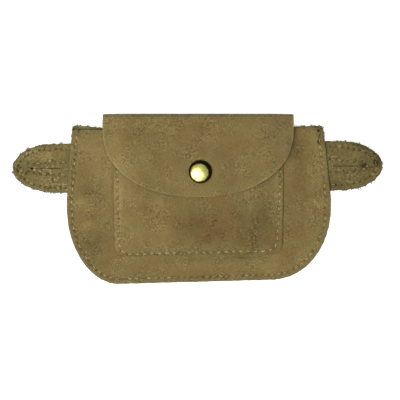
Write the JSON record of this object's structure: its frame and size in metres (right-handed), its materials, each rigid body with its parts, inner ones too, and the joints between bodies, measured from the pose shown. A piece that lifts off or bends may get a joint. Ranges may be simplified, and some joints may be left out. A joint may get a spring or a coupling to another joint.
{
  "type": "belt pouch",
  "caption": "Flat suede belt pouch with a D-shaped body, a patch pocket, a round-edged flap closed by a domed brass press stud, and slit leaf-shaped side tabs.",
  "frame": {"origin": "on the surface the pouch lies on, under the middle of its box", "axes": "+X to the right as the front is seen, tab to tab; +Y up the pouch towards the flap's fold; +Z out of the front"},
  "size_m": [0.24, 0.1102, 0.0254],
  "materials": {
    "suede": "olive-tan suede, short worn nap",
    "tab_suede": "rougher olive-tan suede, speckled nap and raw edges",
    "brass": "antique brass, dark at the rim",
    "thread": "waxed tan sewing thread"
  },
  "bodies": {
    "root": {"back_panel": "suede", "front_panel": "suede", "pocket": "suede", "flap": "suede", "tab_left_face": "tab_suede", "tab_left_backing": "tab_suede", "tab_right_face": "tab_suede", "tab_right_backing": "tab_suede", "snap_cap": "brass", "snap_stud": "brass"}
  },
  "joints": []
}
